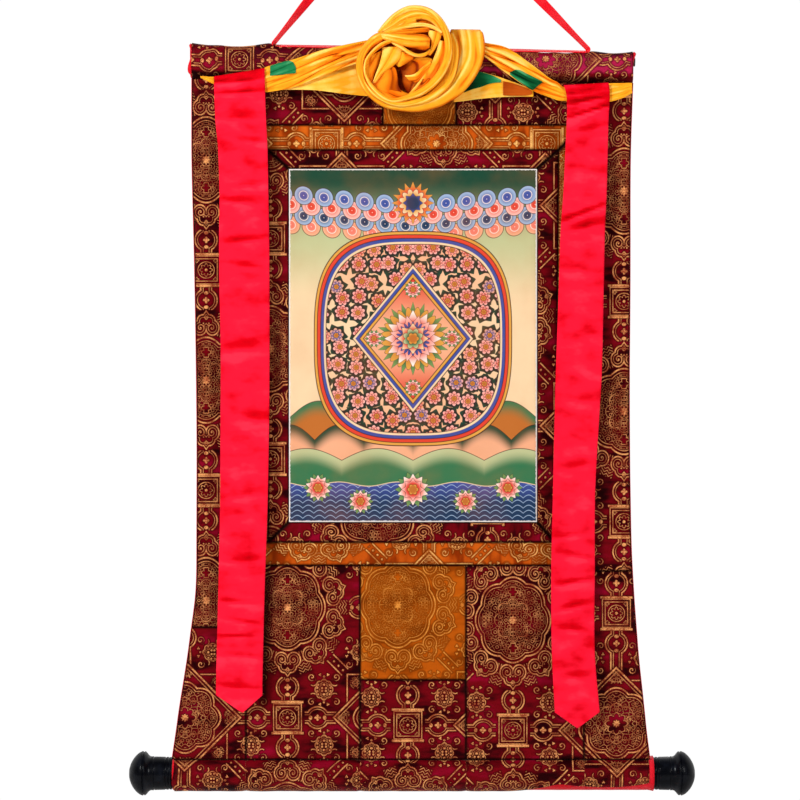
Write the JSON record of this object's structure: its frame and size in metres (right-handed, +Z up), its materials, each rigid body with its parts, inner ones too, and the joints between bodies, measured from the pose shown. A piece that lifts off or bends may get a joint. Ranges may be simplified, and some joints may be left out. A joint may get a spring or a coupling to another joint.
{
  "type": "hanging scroll painting with rods",
  "caption": "Thangka-style scroll painting in a brocade mount, on a top rod and a bottom roller with turned knobs, with satin streamers, a gathered veil and a hanging ribbon.",
  "frame": {"origin": "the point under the bend of the hanging ribbon where a nail or hook holds it", "axes": "+X to the viewer's right, the painted front faces -Y, +Z up along the hanging"},
  "size_m": [0.6704, 0.0921, 1.0905],
  "materials": {
    "brocade_maroon": "dark red silk-like brocade with gold figure, soft sheen",
    "brocade_orange": "burnt orange brocade with gold figure, soft sheen",
    "brocade_gold": "golden ochre brocade, soft sheen",
    "painted_cotton": "painted cotton canvas, matt",
    "lining_red": "red satin lining, soft sheen",
    "satin_red": "bright red satin",
    "satin_yellow": "golden yellow satin",
    "satin_green": "dark green satin",
    "satin_orange": "brown-orange satin",
    "tape_red": "bright red woven ribbon",
    "rod_wood": "dark stained wood, matt",
    "knob_lacquer": "black lacquer, satin gloss"
  },
  "bodies": {
    "root": {"side_strip_left_upper": "brocade_maroon", "side_strip_left_lower": "brocade_maroon", "side_strip_right_upper": "brocade_maroon", "side_strip_right_lower": "brocade_maroon", "heaven_panel_left": "brocade_maroon", "heaven_patch": "brocade_gold", "heaven_panel_right": "brocade_maroon", "frame_strip_top": "brocade_orange", "frame_strip_bottom": "brocade_orange", "frame_strip_left": "brocade_orange", "frame_strip_right": "brocade_orange", "border_strip_top": "brocade_maroon", "border_strip_bottom": "brocade_maroon", "border_strip_left": "brocade_maroon", "border_strip_right": "brocade_maroon", "painted_panel": "painted_cotton", "earth_panel_left": "brocade_maroon", "earth_panel_right": "brocade_maroon", "earth_panel_middle": "brocade_maroon", "door_patch": "brocade_gold", "lining": "lining_red", "top_sleeve": "brocade_maroon", "sleeve_lining_left": "lining_red", "sleeve_lining_right": "lining_red", "top_rod": "rod_wood", "roller_core": "rod_wood", "roller_lining": "lining_red", "roller_wrap": "brocade_maroon", "knob_left": "knob_lacquer", "knob_right": "knob_lacquer", "streamer_left": "satin_red", "streamer_right": "satin_red", "veil_left_upper": "satin_yellow", "veil_left_lower": "satin_yellow", "veil_right_upper": "satin_yellow", "veil_right_lower": "satin_yellow", "veil_patch_left_green": "satin_green", "veil_patch_right_green": "satin_green", "veil_patch_inner_green": "satin_green", "veil_patch_right_orange": "satin_orange", "veil_rosette": "satin_yellow", "hanging_tape": "tape_red"}
  },
  "joints": []
}
